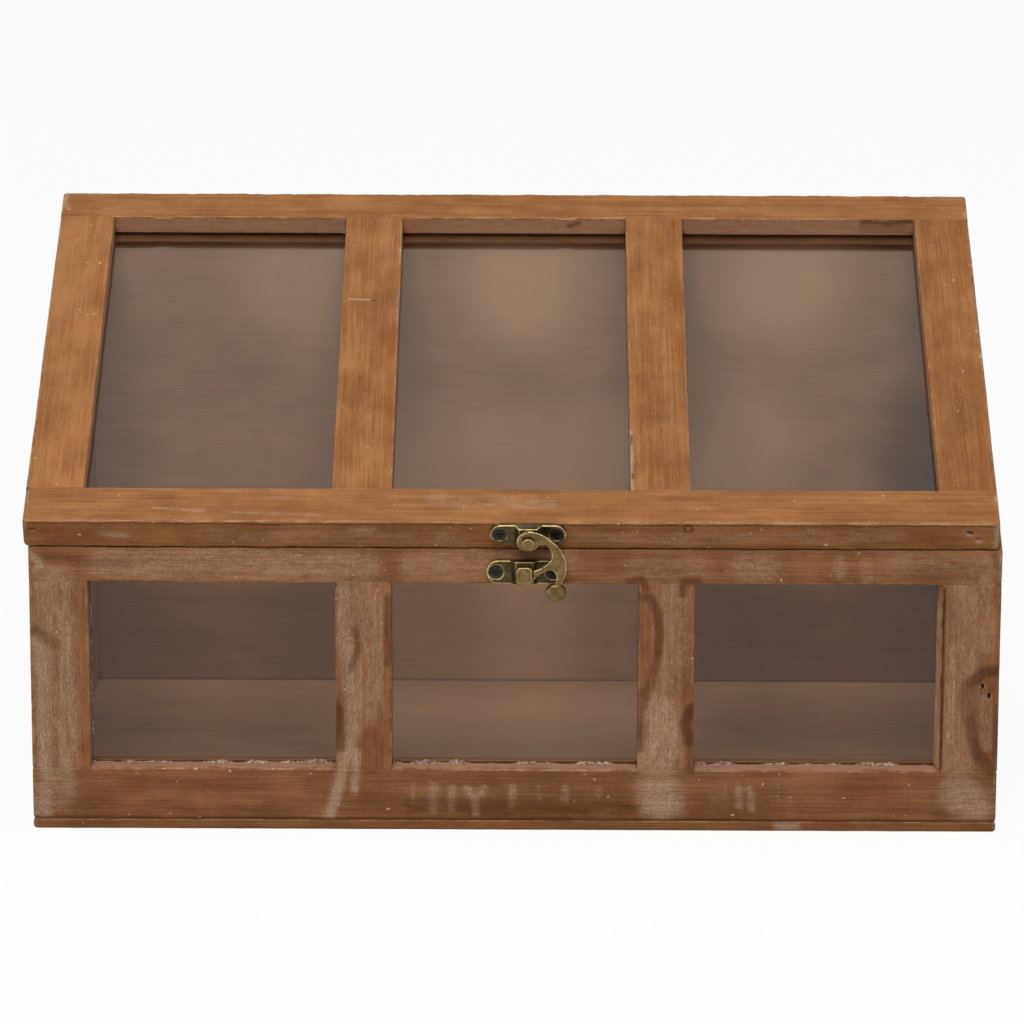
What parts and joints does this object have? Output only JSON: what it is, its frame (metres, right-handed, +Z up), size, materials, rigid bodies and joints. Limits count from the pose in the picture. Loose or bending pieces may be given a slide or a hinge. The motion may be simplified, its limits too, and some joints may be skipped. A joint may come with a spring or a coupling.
{
  "type": "mini greenhouse",
  "caption": "Lean-to wooden mini greenhouse: stained box with a glazed front, a glazed lid that slopes and opens on rear hinges, and a swing latch",
  "frame": {"origin": "middle of the underside of the base board, on the surface the box stands on", "axes": "+X to the right seen from the front, +Y to the back, +Z up; the front frame faces -Y"},
  "size_m": [0.3816, 0.2236, 0.2152],
  "materials": {
    "stained_wood": "worn red-brown stain with fine grain, satin, pale water marks",
    "inside_wood": "the same stain, duller and browner, matt",
    "pane_glass": "clear, with a thin film of dust",
    "aged_brass": "antique brass, dark in the hollows, rubbed bright on the arrises",
    "brad_steel": "dull, slightly rusted"
  },
  "bodies": {
    "box": {"base_board": "inside_wood", "front_bottom_rail": "stained_wood", "front_top_rail": "stained_wood", "front_stile_left": "stained_wood", "front_stile_right": "stained_wood", "front_mullion_left": "stained_wood", "front_mullion_right": "stained_wood", "side_board_left": "inside_wood", "side_board_right": "inside_wood", "back_board": "inside_wood", "front_pane_left": "pane_glass", "front_pane_middle": "pane_glass", "front_pane_right": "pane_glass", "front_brads": "brad_steel", "back_brads": "brad_steel", "base_brads": "brad_steel", "catch_plate": "aged_brass", "catch_post": "aged_brass", "catch_screws": "aged_brass", "hinge_leaf_box_left": "aged_brass", "hinge_leaf_box_right": "aged_brass", "hinge_pin_left": "aged_brass", "hinge_pin_right": "aged_brass", "hinge_screws_box": "aged_brass"},
    "lid": {"lid_bottom_rail": "stained_wood", "lid_top_rail": "stained_wood", "lid_stile_left": "stained_wood", "lid_stile_right": "stained_wood", "lid_mullion_left": "stained_wood", "lid_mullion_right": "stained_wood", "lid_pane_left": "pane_glass", "lid_pane_middle": "pane_glass", "lid_pane_right": "pane_glass", "hook_plate": "aged_brass", "hook_rivet": "aged_brass", "hook_plate_screws": "aged_brass", "hinge_leaf_lid_left": "aged_brass", "hinge_leaf_lid_right": "aged_brass", "hinge_screws_lid": "aged_brass"},
    "hook": {"swing_hook": "aged_brass"}
  },
  "joints": [
    {"name": "lid_hinge", "type": "hinge", "parent": "box", "child": "lid", "pos_m": [0, 0.106, 0.20375], "axis": [-1, 0, 0], "range_deg": [0, 200]},
    {"name": "hook_swing", "type": "hinge", "parent": "lid", "child": "hook", "pos_m": [0.005, -0.11198, 0.12096], "axis": [0, -0.9205, -0.3907], "range_deg": [0, 240]}
  ]
}
